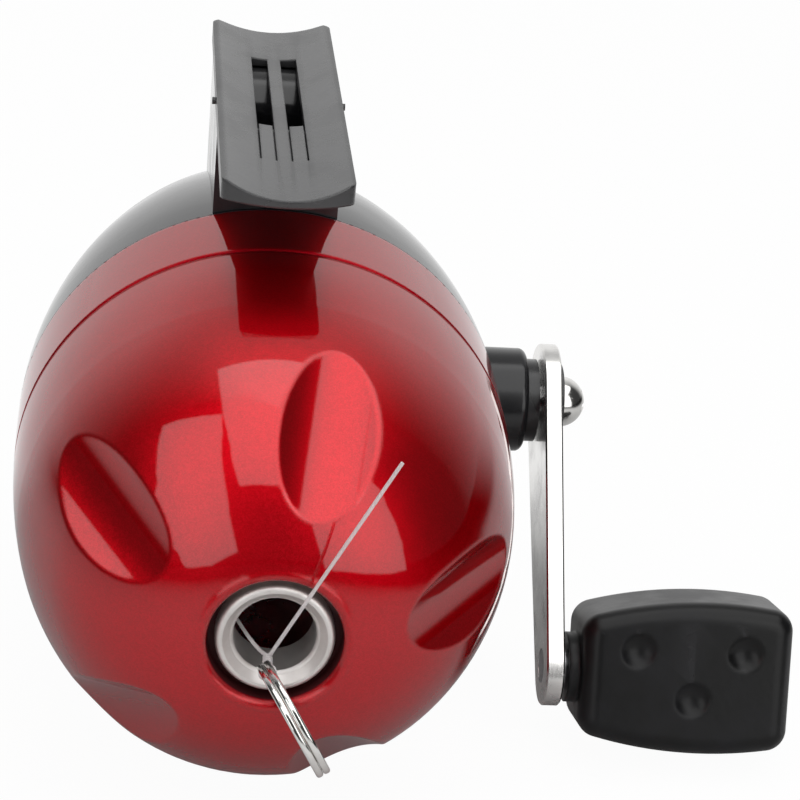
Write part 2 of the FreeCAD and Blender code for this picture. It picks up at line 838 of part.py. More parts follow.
def foot_screws():
    screw = pan_screw("foot_screw", "foot_screw_long")
    seats = ("belly_r - shell_wall - 0.55", "waist_r - shell_wall - 2.9")
    places = [(("0", where, seat), 90, (1, 0, 0)) for where, seat in zip(FOOT_SCREWS, seats)]
    return group("foot_screws", screw, places)


def thumb_button():
    body = new_body("thumb_button")
    inside = "button_end - button_rise - button_wall"
    edge = "button_r - 0.9"
    dome = "((%s) ^ 2 + (button_rise - 0.8) ^ 2) / (2 * (button_rise - 0.8))" % edge
    turned(body, [
        ("0", "button_end", dome, 1),
        (edge, "button_end - button_rise + 0.8", "1", 1),
        ("button_r", "button_end - button_rise - 0.2"),
        ("button_r", TAIL_IN + " - 0.05"),
        ("button_flange_r", TAIL_IN + " - 0.05"),
        ("button_flange_r", TAIL_IN + " - 0.05 - button_flange"),
        ("button_r - button_wall", TAIL_IN + " - 0.05 - button_flange"),
        ("button_r - button_wall", inside),
        ("button_hub_r", inside),
        ("button_hub_r", "shaft_rear - 2.8"),
        ("shaft_r + run_gap", "shaft_rear - 2.8"),
        ("shaft_r + run_gap", "shaft_rear + 0.1"),
        ("0", "shaft_rear + 0.1"),
    ])
    return body


def button_spring():
    inside = "button_end - button_rise - button_wall"
    return ring(
        new_body("button_spring"), "spring_r - spring_wire", "spring_r", BRIDGE_BACK + " + 0.02", inside + " - 0.02",
    )


def shaft_clip():
    return ring(
        new_body("shaft_clip"), "shaft_r + 0.02", "shaft_r + 1.5", "shaft_rear - 3.5", "shaft_rear - 3.0",
    )


# Crank train, drawn about its own axis along X

def drive_gear():
    body = new_body("drive_gear")
    root = PINION_R + " + tooth_module"
    turned(body, [
        (root, "crank_shaft_r + 0.02"),
        (root, GEAR_R + " + 2"),
        ("gear_back", GEAR_R + " + 2"),
        ("gear_back", "crank_shaft_r + 2.5"),
        ("ratchet_x - 0.1", "crank_shaft_r + 2.5"),
        ("ratchet_x - 0.1", "crank_shaft_r + 0.02"),
    ], axis="H_Axis")
    tooth = add(body, "XZ_Plane", gear_tooth, "-%s - 2" % GEAR_R, "-%s + 2" % GEAR_R)
    around(body, tooth, "gear_teeth", "X_Axis")
    return body


def gear_tooth(sketch):
    """Straight-sided tooth on the gear's face, 20 degrees each side."""
    half = "tooth_module * 0.62"
    tip = "tooth_module * (0.62 - 0.55 * tan(20 * 1deg))"
    foot = "tooth_module * (0.62 + 1.05 * tan(20 * 1deg))"
    tip_x = PINION_R + " - tooth_module * 0.55"
    foot_x = PINION_R + " + tooth_module * 1.05"
    outline(sketch, [(tip_x, "-" + tip), (foot_x, "-" + foot), (foot_x, foot), (tip_x, tip)])


def crank_shaft():
    body = new_body("crank_shaft")
    end = ARM_OUT + " - 0.15"
    turned(body, [
        (PINION_R + " + tooth_module", "0"),
        (PINION_R + " + tooth_module", "crank_shaft_r"),
        (end, "crank_shaft_r"),
        (end, "crank_screw_r + 0.02"),
        (end + " - 8", "crank_screw_r + 0.02"),
        (end + " - 8", "0"),
    ], axis="H_Axis")
    return body


def ratchet_wheel():
    body = new_body("ratchet_wheel")
    def saw_teeth(sketch):
        corners = []
        count = int(value("ratchet_teeth"))
        for number in range(count):
            for radius, turn in (("(ratchet_r - ratchet_step)", number + 0.12), ("ratchet_r", number + 1.0)):
                angle = "(%r * 1deg)" % (360.0 * turn / count)
                corners.append((radius + " * cos" + angle, radius + " * sin" + angle))
        outline(sketch, corners)
    add(body, "YZ_Plane", saw_teeth, "ratchet_x", "ratchet_x + ratchet_thick")
    cut(body, "YZ_Plane", round_at("0", "0", "crank_shaft_r + 0.02"), "ratchet_x - 1", "ratchet_x + ratchet_thick + 1")
    return body


def crank_bush():
    body = new_body("crank_bush")
    turned(body, [
        ("boss_in - 1", "crank_shaft_r + run_gap"),
        ("boss_in - 1", "crank_bush_r - 0.01"),
        ("boss_end", "crank_bush_r - 0.01"),
        ("boss_end", "bush_flange_r"),
        ("arm_x - 0.3", "bush_flange_r"),
        ("arm_x - 0.3", "crank_shaft_r + run_gap"),
    ], axis="H_Axis")
    return body


def crank_arm():
    """Flat tapered arm, hanging straight down from its hub before it is turned."""
    body = new_body("crank_arm")
    across = "sqrt(1 - ((arm_hub_r - arm_end_r) / arm_long) ^ 2)"
    down = "((arm_hub_r - arm_end_r) / arm_long)"
    def shape(sketch):
        outline(sketch, [
            ("arm_hub_r * " + across, "-arm_hub_r * " + down, "arm_hub_r", -1),
            ("0", "arm_hub_r", "arm_hub_r", -1),
            ("-arm_hub_r * " + across, "-arm_hub_r * " + down),
            ("-arm_end_r * " + across, "-arm_long - arm_end_r * " + down, "arm_end_r", -1),
            ("0", "-arm_long - arm_end_r", "arm_end_r", -1),
            ("arm_end_r * " + across, "-arm_long - arm_end_r * " + down),
        ])
    plate = add(body, "YZ_Plane", shape, "0", "arm_thick")
    ease(body, plate, "PartDesign::Chamfer", "0.2", lambda edge: spans(edge, 0) < 0.01)
    cut(body, "YZ_Plane", round_at("0", "0", "crank_shaft_r + 0.02"), "-1", "arm_thick + 1")
    cut(body, "YZ_Plane", round_at("0", "-arm_long", "rivet_r + 0.02"), "-1", "arm_thick + 1")
    return body


def spans(edge, axis):
    """How far an edge reaches along X, Y or Z: 0, 1 or 2."""
    box = edge.BoundBox
    return (box.XLength, box.YLength, box.ZLength)[axis]


def ease(body, feature, kind, size, test):
    """Fillet or chamfer on the feature's edges that pass the test."""
    doc.recompute()
    names = ["Edge%d" % number for number, edge in enumerate(feature.Shape.Edges, start=1) if test(edge)]
    eased = body.newObject(kind, body.Name + "_eased")
    eased.Base = (feature, names)
    eased.setExpression("Radius" if kind.endswith("Fillet") else "Size", bound(size))
    body.Tip = eased
    doc.recompute()
    return eased


def crank_washer():
    body = new_body("crank_washer")
    turned(body, [
        (ARM_OUT, "crank_screw_r + 0.05"),
        (ARM_OUT, "washer_r"),
        (HEAD_X, "washer_r"),
        (HEAD_X, "crank_screw_r + 0.05"),
    ], axis="H_Axis")
    return body


def crank_screw():
    body = new_body("crank_screw")
    back = ARM_OUT + " - 7.5"
    dome = "((crank_head_r - 0.1) ^ 2 + (crank_head - 0.5) ^ 2) / (2 * (crank_head - 0.5))"
    turned(body, [
        (back, "0"),
        (back, "crank_screw_r"),
        (HEAD_X, "crank_screw_r"),
        (HEAD_X, "crank_head_r"),
        (HEAD_X + " + 0.5", "crank_head_r - 0.1", dome, 1),
        (HEAD_X + " + crank_head", "0"),
    ], axis="H_Axis")
    for wide, tall in (("0.4", "1.7"), ("1.7", "0.4")):
        bar = box_at("-" + wide, wide, "-" + tall, tall)
        cut(body, "YZ_Plane", bar, HEAD_X + " + crank_head - 1.5", HEAD_X + " + crank_head + 1")
    return body


def knob_rivet():
    """Rivet through the arm, its spindle running in the knob."""
    body = new_body("knob_rivet")
    turned(body, [
        ("arm_x + 0.05", "0"),
        ("arm_x + 0.05", "rivet_r"),
        (ARM_OUT, "rivet_r"),
        (ARM_OUT, "rivet_r + 0.8"),
        (ARM_OUT + " + 0.35", "rivet_r + 0.8"),
        (ARM_OUT + " + 0.35", "spindle_r"),
        ("knob_x + knob_long - 7", "spindle_r"),
        ("knob_x + knob_long - 7", "0"),
    ], axis="H_Axis")
    return body


def knob():
    """Paddle with crowned edges, wider at its free end, three thumb dimples on its face."""
    body = new_body("knob")
    def face(sketch):
        outline(sketch, [
            ("0", "-knob_small / 2", "knob_crown", -1),
            ("knob_long", "-knob_end / 2"),
            ("knob_long", "knob_end / 2", "knob_crown", -1),
            ("0", "knob_small / 2"),
        ])
    slab = add(body, "XZ_Plane", face, "-knob_thick / 2", "knob_thick / 2")
    corners = ease(body, slab, "PartDesign::Fillet", "knob_corner", lambda edge: spans(edge, 1) > 1)
    ease(body, corners, "PartDesign::Fillet", "knob_round", lambda edge: spans(edge, 1) < 0.01)
    neck = ARM_OUT + " - knob_x + 0.65"
    add(body, "YZ_Plane", round_at("0", "0", "knob_neck_r"), neck, "1")
    cut(body, "YZ_Plane", round_at("0", "0", "spindle_r + run_gap"), neck + " - 1", "knob_long - 6.5")
    for along, up in (("dimple_near", "dimple_up"), ("dimple_far", "dimple_up"), ("dimple_mid", "-dimple_low")):
        ball = [("0", "-dimple_r", "dimple_r + 0.001", -1), ("dimple_r", "0", "dimple_r + 0.001", -1), ("0", "dimple_r")]
        where = (along, up, "knob_thick / 2 + dimple_r - dimple_deep")
        turned(body, ball, cut=True, role="XZ_Plane", shift=where)
    return body


# Anti-reverse pawl

def pawl():
    """Pawl beside the ratchet wheel, held just clear of its teeth."""
    body = new_body("pawl")
    thick = "ratchet_x + ratchet_thick"
    tip_y = "-(pawl_y - crank_y) - 0.7"
    tip_z = "-pawl_z + ratchet_r + 0.32"
    add(body, "YZ_Plane", round_at("0", "0", "pawl_eye_r"), "ratchet_x", thick)
    def finger(sketch):
        outline(sketch, [
            ("0.2", "pawl_eye_r - 0.05"),
            (tip_y, tip_z + " + 0.7"),
            (tip_y + " + 0.1", tip_z),
            ("-0.8", "-pawl_eye_r + 0.2"),
        ])
    add(body, "YZ_Plane", finger, "ratchet_x", thick)
    cut(body, "YZ_Plane", round_at("0", "0", "pawl_pin_r + run_gap"), "ratchet_x - 1", thick + " + 1")
    return body


def pawl_pin():
    body = new_body("pawl_pin")
    turned(body, [
        ("ratchet_x - 0.9", "0"),
        ("ratchet_x - 0.9", "pawl_pin_r + 0.8"),
        ("ratchet_x - 0.2", "pawl_pin_r + 0.8"),
        ("ratchet_x - 0.2", "pawl_pin_r - 0.01"),
        (LUG_X + " + 3.8", "pawl_pin_r - 0.01"),
        (LUG_X + " + 3.8", "0"),
    ], axis="H_Axis")
    return body


# Foot

def foot_plate():
    """Saddle plate with two slots, two fine grooves ahead of each, and keys down into the stem."""
    body = new_body("foot_plate")
    bow = "((plate_wide / 2) ^ 2 + plate_bow ^ 2) / (2 * plate_bow)"
    def plan(sketch):
        outline(sketch, [
            ("-plate_wide / 2", "-plate_front + plate_bow", bow, -1),
            ("plate_wide / 2", "-plate_front + plate_bow"),
            ("plate_wide / 2", "plate_back"),
            ("-plate_wide / 2", "plate_back"),
        ])
    slab = add(body, "XY_Plane", plan, PLATE_LOW, "axis_drop")
    ease(body, slab, "PartDesign::Fillet", "1.3", lambda edge: spans(edge, 2) > 1)
    for side in ("-1", "1"):
        ends = [side + " * (plate_wide / 2 - 0.5)", side + " * (plate_wide / 2 + nub_proud)"]
        ends.sort(key=value)
        add(body, "YZ_Plane", round_at("nub_y", PLATE_LOW + " + plate_thick / 2", "nub_r"), *ends)
    trough = "axis_drop + sqrt(saddle_r ^ 2 - (plate_wide / 2 - land_wide) ^ 2)"
    cut(body, "XZ_Plane", round_at("0", trough, "saddle_r"), "-plate_front - 3", "plate_back + 3")
    seat = "(stem_wide / 2 - stem_wall - run_gap)"
    inner, outer = "slot_rib / 2", "slot_rib / 2 + slot_wide"
    for side in (1, -1):
        def across(near, far):
            return (near, far) if side > 0 else ("-(%s)" % far, "-(%s)" % near)
        slot = box_at(*across(inner, outer), "finger_back", "slot_back")
        cut(body, "XY_Plane", slot, PLATE_LOW + " - 1", "axis_drop")
        for near in (inner, outer + " - finger_gap"):
            groove = box_at(*across(near, near + " + finger_gap"), "slot_front", "finger_back + 0.5")
            cut(body, "XY_Plane", groove, PLATE_LOW + " + groove_floor", "axis_drop")
        key = box_at(*across(seat + " - key_wide", seat), "stem_front + stem_wall + run_gap", "key_back")
        add(body, "XY_Plane", key, PLATE_LOW + " - key_deep", PLATE_LOW)
    return body


def foot_stem():
    """Hollow pedestal with a round rib inside, its underside cut to the housing."""
    body = new_body("foot_stem")
    side = "stem_wide / 2"
    add(body, "XY_Plane", box_at("-" + side, side, "stem_front", "stem_back"), "stem_low", PLATE_LOW)
    inner = "(stem_wide / 2 - stem_wall)"
    hollow = box_at("-" + inner, inner, "stem_front + stem_wall", "stem_back - stem_wall")
    cut(body, "XY_Plane", hollow, "stem_floor", PLATE_LOW + " + 1")
    add(body, "YZ_Plane", round_at("rib_y", "rib_z", "rib_r"), "-" + inner + " - 0.5", inner + " + 0.5")
    turned(body, [
        ("0", "stem_front - 6"),
        ("belly_r + 0.02", "stem_front - 6"),
        ("belly_r + 0.02", "collar_long", "waist_curve", -1),
        ("waist_r + 0.02", "waist_y", "hip_curve", -1),
        ("hip_r + 0.02", "hip_y", "tail_curve", -1),
        ("tail_r + 0.02", "tail_y"),
        ("0", "tail_y"),
    ], cut=True)
    for place in FOOT_SCREWS:
        cut(body, "XY_Plane", round_at("0", place, "screw_r"), "stem_low", "stem_floor - 0.4")
    return body


# Line, knot and split ring

ROUTE_NOSE = 35.95  # the nose's length that this route was laid out for
LINE_ROUTE = [
    (-3.70, -30.40, -0.63),
    (-2.42, -33.40, -1.25),
    (-0.66, -35.79, -1.90),
    (-0.03, -36.05, -0.51),
    (1.15, -36.48, 2.07),
    (3.36, -37.20, 6.82),
    (7.15, -38.10, 14.70),
    (10.84, -38.60, 22.14),
]


def fishing_line():
    """Line from inside the guide to the knot, and its free end, on straight runs and tangent arcs."""
    points = [FreeCAD.Vector(*point) * (value("nose_y") / ROUTE_NOSE) for point in LINE_ROUTE]
    edges, start, length = [], points[0], 0.0
    for before, here, after in zip(points, points[1:], points[2:]):
        inward, outward = (before - here), (after - here)
        half_turn = (math.pi - inward.getAngle(outward)) / 2
        reach = 0.45 * min(inward.Length, outward.Length)
        radius = reach / math.tan(half_turn)
        inward.normalize()
        outward.normalize()
        into, out_of = here + inward * reach, here + outward * reach
        middle = (inward + outward).normalize()
        top = here + middle * (radius / math.cos(half_turn) - radius)
        edges.append(Part.makeLine(start, into))
        edges.append(Part.Arc(into, top, out_of).toShape())
        start = out_of
        print("line bend: radius %.2f, turn %.0f" % (radius, math.degrees(2 * half_turn)))
    edges.append(Part.makeLine(start, points[-1]))
    path = Part.Wire(edges)
    section = Part.Wire(Part.makeCircle(value("line_r"), points[0], points[1] - points[0]))
    tube = path.makePipeShell([section], True, False)
    length = sum(edge.Length for edge in edges)
    print("line: %.2f long, volume %.3f, section x length %.3f" % (
        length, tube.Volume, math.pi * value("line_r") ** 2 * length))
    node = doc.addObject("Part::Feature", "fishing_line")
    node.Shape = tube
    return node


def line_knot():
    """Eye round the ring's wire and a short wound barrel, drawn with the barrel along +Z."""
    body = new_body("line_knot")
    eye = new_sketch(body, "XY_Plane")
    circle(eye, "eye_r", "0", "line_r")
    loop = body.newObject("PartDesign::Revolution", "eye")
    loop.Profile = eye
    loop.ReferenceAxis = (eye, ["V_Axis"])
    loop.Angle = 360
    wraps = 4
    step = "knot_long / %d" % wraps
    corners = [("0", "eye_r")]
    for wrap in range(wraps):
        corners.append(("knot_r - 0.12", "eye_r + %d * %s" % (wrap, step), "knot_long / 6", -1))
    corners.append(("knot_r - 0.12", "eye_r + knot_long"))
    corners.append(("0", "eye_r + knot_long"))
    turned(body, corners, role="XZ_Plane")
    return body


def split_ring():
    """Ring of two turns side by side with a step between them, hanging along -Z from its top."""
    body = new_body("split_ring")
    low, high = "ring_r - ring_thick / 2", "ring_r + ring_thick / 2"

    def lane(middle, start):
        sketch = new_sketch(body, "XZ_Plane")
        turning = FreeCAD.Rotation(FreeCAD.Vector(1, 0, 0), value(start))
        sketch.AttachmentOffset = FreeCAD.Placement(FreeCAD.Vector(0, -value("ring_r"), 0), turning)
        near, far = middle + " - ring_wire / 2", middle + " + ring_wire / 2"
        outline(sketch, [
            (near + " + 0.2", low),
            (far + " - 0.2", low, "0.2", -1),
            (far, low + " + 0.2"),
            (far, high + " - 0.3", "0.3", -1),
            (far + " - 0.3", high),
            (near + " + 0.3", high, "0.3", -1),
            (near, high + " - 0.3"),
            (near, low + " + 0.2", "0.2", -1),
        ])
        return sketch

    def turn(middle, start):
        sketch = lane(middle, start)
        sweep = body.newObject("PartDesign::Revolution", "turn")
        sweep.Profile = sketch
        sweep.ReferenceAxis = (sketch, ["H_Axis"])
        sweep.setExpression("Angle", bound("356 - ring_step_angle"))
        return sweep

    turn("-ring_lane", "ring_step_angle / 2 + 4")
    sketch = lane("-ring_lane", "-ring_step_angle / 2")
    step = body.newObject("PartDesign::AdditiveHelix", "step")
    step.Profile = sketch
    step.ReferenceAxis = (sketch, ["H_Axis"])
    step.Mode = "pitch-height-angle"
    step.setExpression("Pitch", bound("2 * ring_lane * 360 / ring_step_angle"))
    step.setExpression("Height", bound("2 * ring_lane"))
    turn("ring_lane", "ring_step_angle / 2")
    return body


def hung(thing, angles):
    """Sets a piece with its own origin at the knot's eye, turned by yaw, pitch and roll."""
    piece(thing, ("knot_x", "knot_y", "knot_z"))
    thing.Placement = FreeCAD.Placement(FreeCAD.Vector(), FreeCAD.Rotation(*[value(text) for text in angles]))


ON_CRANK = ("0", "crank_y", "0")
AT_KNOB = ("0", KNOB_Y, KNOB_Z)

piece(front_cover())
piece(line_guide())
piece(guide_retainer())
piece(cover_collar())
piece(rear_body())
piece(deck_frame())
piece(deck_screws())
piece(front_bush())
piece(spool())
piece(line_winding())
piece(spool_clip())
piece(main_shaft())
piece(pinion_gear())
piece(rotor())
piece(rotor_nut())
piece(pickup_pin(), ("0", "-pin_y", "0"))
piece(bearing_bridge())
piece(bridge_screws())
piece(rear_bush())
piece(thumb_button())
piece(button_spring())
piece(shaft_clip())
piece(drive_gear(), ON_CRANK, ("180 / gear_teeth", (1, 0, 0)))
piece(crank_shaft(), ON_CRANK)
piece(ratchet_wheel(), ON_CRANK)
piece(crank_bush(), ON_CRANK)
piece(crank_arm(), ("arm_x", "crank_y", "0"), ("-arm_lean_angle", (1, 0, 0)))
piece(crank_washer(), ON_CRANK)
piece(crank_screw(), ON_CRANK)
piece(knob_rivet(), AT_KNOB)
piece(knob(), ("knob_x", KNOB_Y, KNOB_Z), ("-knob_tilt_angle", (1, 0, 0)))
piece(pawl(), ("0", "pawl_y", "pawl_z"))
piece(pawl_pin(), ("0", "pawl_y", "pawl_z"))
piece(foot_plate())
piece(foot_stem())
piece(foot_screws())
piece(fishing_line())
hung(line_knot(), ("eye_yaw_angle", "eye_pitch_angle", "eye_roll_angle"))
hung(split_ring(), ("ring_yaw_angle", "ring_pitch_angle", "ring_roll_angle"))

doc.recompute()
for item in doc.Objects:
    if {"Invalid", "Error"} & set(item.State):
        raise RuntimeError("failed: " + item.Name)
os.makedirs("parts", exist_ok=True)
for item in PIECES:
    if item.Shape.isNull() or not item.Shape.isValid():
        raise RuntimeError("bad shape: " + item.Name)
    print("%s %.2f %d" % (item.Label, item.Shape.Volume, len(item.Shape.Solids)))
    item.Shape.exportStep(os.path.join("parts", item.Label + ".step"))
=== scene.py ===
import math

import bpy
from mathutils import Matrix, Vector


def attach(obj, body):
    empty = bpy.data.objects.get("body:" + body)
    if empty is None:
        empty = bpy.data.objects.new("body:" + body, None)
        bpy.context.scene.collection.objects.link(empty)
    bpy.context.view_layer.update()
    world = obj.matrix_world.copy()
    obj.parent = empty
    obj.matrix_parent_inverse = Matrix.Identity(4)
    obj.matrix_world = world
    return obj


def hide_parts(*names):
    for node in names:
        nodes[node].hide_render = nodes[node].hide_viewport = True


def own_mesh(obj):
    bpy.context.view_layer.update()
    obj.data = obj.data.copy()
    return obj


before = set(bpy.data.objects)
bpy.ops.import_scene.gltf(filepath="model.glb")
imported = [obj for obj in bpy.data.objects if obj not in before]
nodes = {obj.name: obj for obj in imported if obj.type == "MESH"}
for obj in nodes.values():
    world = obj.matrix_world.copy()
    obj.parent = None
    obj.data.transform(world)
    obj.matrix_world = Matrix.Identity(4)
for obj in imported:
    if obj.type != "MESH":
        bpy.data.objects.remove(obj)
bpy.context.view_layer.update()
scene = bpy.context.scene
collection = scene.collection

MM = 0.001
# The reel's own axes, with Y along the main shaft, lie at this offset in the row's frame
REEL = Vector((0.0, -17.65, -38.95))


def reel(x, y, z):
    """A point of the reel's own axes in millimetres, as a point of the row's frame in metres."""
    return (Vector((x, y, z)) + REEL) * MM


# Camera: placed and turned as the photograph was taken

FRAME_PX = 800.0
FOCAL_PX = 2765.31
CAMERA_AT = reel(-17.657, -276.690, 141.628)
CAMERA_YAW, CAMERA_PITCH, CAMERA_ROLL = 0.115819, 0.439683, 0.090633


def look_axes(yaw, pitch, roll):
    """Right, up and ahead of a camera turned from +Y by yaw, then down by pitch, then rolled."""
    ahead = Vector((
        math.sin(yaw) * math.cos(pitch),
        math.cos(yaw) * math.cos(pitch),
        -math.sin(pitch),
    ))
    level = Vector((math.cos(yaw), -math.sin(yaw), 0.0))
    upright = level.cross(ahead)
    right = level * math.cos(roll) + upright * math.sin(roll)
    up = upright * math.cos(roll) - level * math.sin(roll)
    return right, up, ahead


def add_camera():
    right, up, ahead = look_axes(CAMERA_YAW, CAMERA_PITCH, CAMERA_ROLL)
    data = bpy.data.cameras.new("camera")
    data.sensor_width = 36.0
    data.lens = FOCAL_PX / FRAME_PX * data.sensor_width
    data.clip_start = 0.01
    data.clip_end = 20.0
    camera = bpy.data.objects.new("camera", data)
    turn = Matrix((right, up, -ahead)).transposed().to_4x4()
    camera.matrix_world = Matrix.Translation(CAMERA_AT) @ turn
    collection.objects.link(camera)
    scene.camera = camera


add_camera()


# Node building

class Nodes:
    """Short way to add and join the nodes of one tree."""

    def __init__(self, tree):
        self.tree = tree

    def add(self, kind, inputs=None, **settings):
        """A node with its inputs linked or set, and its own settings."""
        node = self.tree.nodes.new(kind)
        for name, setting in settings.items():
            setattr(node, name, setting)
        for name, given in (inputs or {}).items():
            if isinstance(given, bpy.types.NodeSocket):
                self.tree.links.new(given, node.inputs[name])
            else:
                node.inputs[name].default_value = given
        return node

    def math(self, operation, *given):
        return self.add("ShaderNodeMath", dict(enumerate(given)), operation=operation).outputs[0]

    def ramp(self, fac, low, high, to_low=0.0, to_high=1.0):
        """A smooth step from to_low at low to to_high at high."""
        node = self.add("ShaderNodeMapRange", {
            "Value": fac, "From Min": low, "From Max": high, "To Min": to_low, "To Max": to_high,
        }, interpolation_type="SMOOTHSTEP")
        return node.outputs["Result"]

    def mix(self, fac, first, second):
        """First colour where fac is 0, second where it is 1."""
        node = self.tree.nodes.new("ShaderNodeMix")
        node.data_type = "RGBA"
        for index, item in ((0, fac), (6, first), (7, second)):
            if isinstance(item, bpy.types.NodeSocket):
                self.tree.links.new(item, node.inputs[index])
            else:
                node.inputs[index].default_value = item
        return node.outputs[2]

    def bump(self, height, strength, distance=0.1 * MM):
        return self.add("ShaderNodeBump", {"Height": height, "Strength": strength, "Distance": distance})

    def vector(self, operation, inputs, output=0):
        return self.add("ShaderNodeVectorMath", inputs, operation=operation).outputs[output]

    def object_place(self):
        """The place on the piece in metres of the row's frame."""
        return self.add("ShaderNodeTexCoord").outputs["Object"]

    def link(self, output, target):
        self.tree.links.new(output, target)


def new_group(name, inputs, outputs):
    """An empty node group with these sockets: its tree, and the means to fill it."""
    tree = bpy.data.node_groups.new(name, "ShaderNodeTree")
    for label, kind, start in inputs:
        socket = tree.interface.new_socket(name=label, in_out="INPUT", socket_type=kind)
        if start is not None:
            socket.default_value = start
    for label, kind in outputs:
        tree.interface.new_socket(name=label, in_out="OUTPUT", socket_type=kind)
    build = Nodes(tree)
    return tree, build, build.add("NodeGroupInput").outputs, build.add("NodeGroupOutput").inputs


def make_flakes():
    """Fine metal flakes: a random shade for each, and a normal that leans a little by flake."""
    tree, b, given, out = new_group(
        "flakes",
        [
            ("Scale", "NodeSocketFloat", 7000.0), ("Lean", "NodeSocketFloat", 0.1),
            ("Normal", "NodeSocketVector", None),
        ],
        [("Shade", "NodeSocketFloat"), ("Normal", "NodeSocketVector")],
    )
    cells = b.add("ShaderNodeTexVoronoi", {"Vector": b.object_place(), "Scale": given["Scale"]})
    parts = b.add("ShaderNodeSeparateColor", {"Color": cells.outputs["Color"]})
    b.link(parts.outputs[0], out["Shade"])
    centred = b.vector("SUBTRACT", {0: cells.outputs["Color"], 1: (0.5, 0.5, 0.5)})
    lean = b.vector("SCALE", {0: centred, "Scale": given["Lean"]})
    leaning = b.vector("ADD", {0: given["Normal"], 1: lean})
    b.link(b.vector("NORMALIZE", {0: leaning}), out["Normal"])
    return tree


def make_wear():
    """Handling marks: broad smudges and sparse fine hairlines, both 0 to 1."""
    tree, b, given, out = new_group(
        "wear",
        [("Scale", "NodeSocketFloat", 120.0)],
        [("Smudge", "NodeSocketFloat"), ("Hairline", "NodeSocketFloat")],
    )
    where = b.object_place()
    broad = b.add("ShaderNodeTexNoise", {
        "Vector": where, "Scale": given["Scale"], "Detail": 5.0, "Roughness": 0.62,
    })
    b.link(b.ramp(broad.outputs["Fac"], 0.38, 0.68), out["Smudge"])
    stretch = b.add("ShaderNodeMapping", {
        "Vector": where, "Rotation": (0.3, 0.5, 0.9), "Scale": (1.0, 14.0, 3.0),
    })
    fine = b.add("ShaderNodeTexNoise", {
        "Vector": stretch.outputs[0], "Scale": b.math("MULTIPLY", given["Scale"], 2.2), "Detail": 3.0,
    })
    b.link(b.ramp(fine.outputs["Fac"], 0.66, 0.74), out["Hairline"])
    return tree


def make_grain():
    """Fine moulded grain as a height from 0 to 1."""
    tree, b, given, out = new_group(
        "grain",
        [("Scale", "NodeSocketFloat", 3000.0)],
        [("Height", "NodeSocketFloat")],
    )
    where = b.object_place()
    noise = b.add("ShaderNodeTexNoise", {
        "Vector": where, "Scale": given["Scale"], "Detail": 4.0, "Roughness": 0.6,
    })
    cells = b.add("ShaderNodeTexVoronoi", {
        "Vector": where, "Scale": b.math("MULTIPLY", given["Scale"], 0.7),
    }, feature="SMOOTH_F1")
    fine = b.math("MULTIPLY", noise.outputs["Fac"], 0.6)
    b.link(b.math("ADD", fine, cells.outputs["Distance"]), out["Height"])
    return tree


def make_around():
    """Distance from the main shaft, place along it, and place to the side of and over it, in
    millimetres of the reel's own axes."""
    tree, b, given, out = new_group(
        "around_shaft",
        [],
        [("Radius", "NodeSocketFloat"), ("Along", "NodeSocketFloat"), ("Side", "NodeSocketFloat"),
         ("Height", "NodeSocketFloat")],
    )
    spot = b.vector("SCALE", {0: b.object_place(), "Scale": 1.0 / MM})
    moved = b.vector("SUBTRACT", {0: spot, 1: tuple(REEL)})
    parts = b.add("ShaderNodeSeparateXYZ", {"Vector": moved}).outputs
    squares = [b.math("MULTIPLY", parts[way], parts[way]) for way in ("X", "Z")]
    b.link(b.math("SQRT", b.math("ADD", *squares)), out["Radius"])
    b.link(parts["Y"], out["Along"])
    b.link(parts["X"], out["Side"])
    b.link(parts["Z"], out["Height"])
    return tree


FLAKES = make_flakes()
WEAR = make_wear()
GRAIN = make_grain()
AROUND = make_around()


def new_material(name, **constants):
    """A material with one Principled shader, its constants set, and the means to link the rest."""
    material = bpy.data.materials.new(name)
    material.use_nodes = True
    tree = material.node_tree
    tree.nodes.clear()
    b = Nodes(tree)
    shader = b.add("ShaderNodeBsdfPrincipled")
    for label, number in constants.items():
        shader.inputs[label.replace("_", " ")].default_value = number
    output = b.add("ShaderNodeOutputMaterial")
    b.link(shader.outputs[0], output.inputs["Surface"])
    return material, b, shader.inputs


def group(b, tree, **inputs):
    """A group placed in a tree with its own values: its outputs."""
    node = b.add("ShaderNodeGroup", node_tree=tree)
    for label, number in inputs.items():
        socket = node.inputs[label]
        if isinstance(number, bpy.types.NodeSocket):
            b.link(number, socket)
        else:
            socket.default_value = number
    return node.outputs


def soft_normal(b, radius):
    """The surface's normal, rounded over edges by this many millimetres."""
    return b.add("ShaderNodeBevel", {"Radius": radius * MM}, samples=6).outputs["Normal"]


# Places on the cover and collar, each from where a mark starts to where it is full, in
# millimetres: radius from the main shaft, place along it, or height over it
RECESS_WALL = (7.35, 6.95)
RECESS_MOUTH = (-35.75, -35.3)
RECESS_FLOOR = (-30.5, -31.5)
RECESS_REFLECTION_HEIGHT = (1.5, 6.0)
COLLAR_END = (11.38, 11.52)
SEAM_FROM_MIDDLE = (0.74, 0.46)
SEAM_MIDDLE = -0.12
SEAM_DEPTH = (26.2, 26.6)


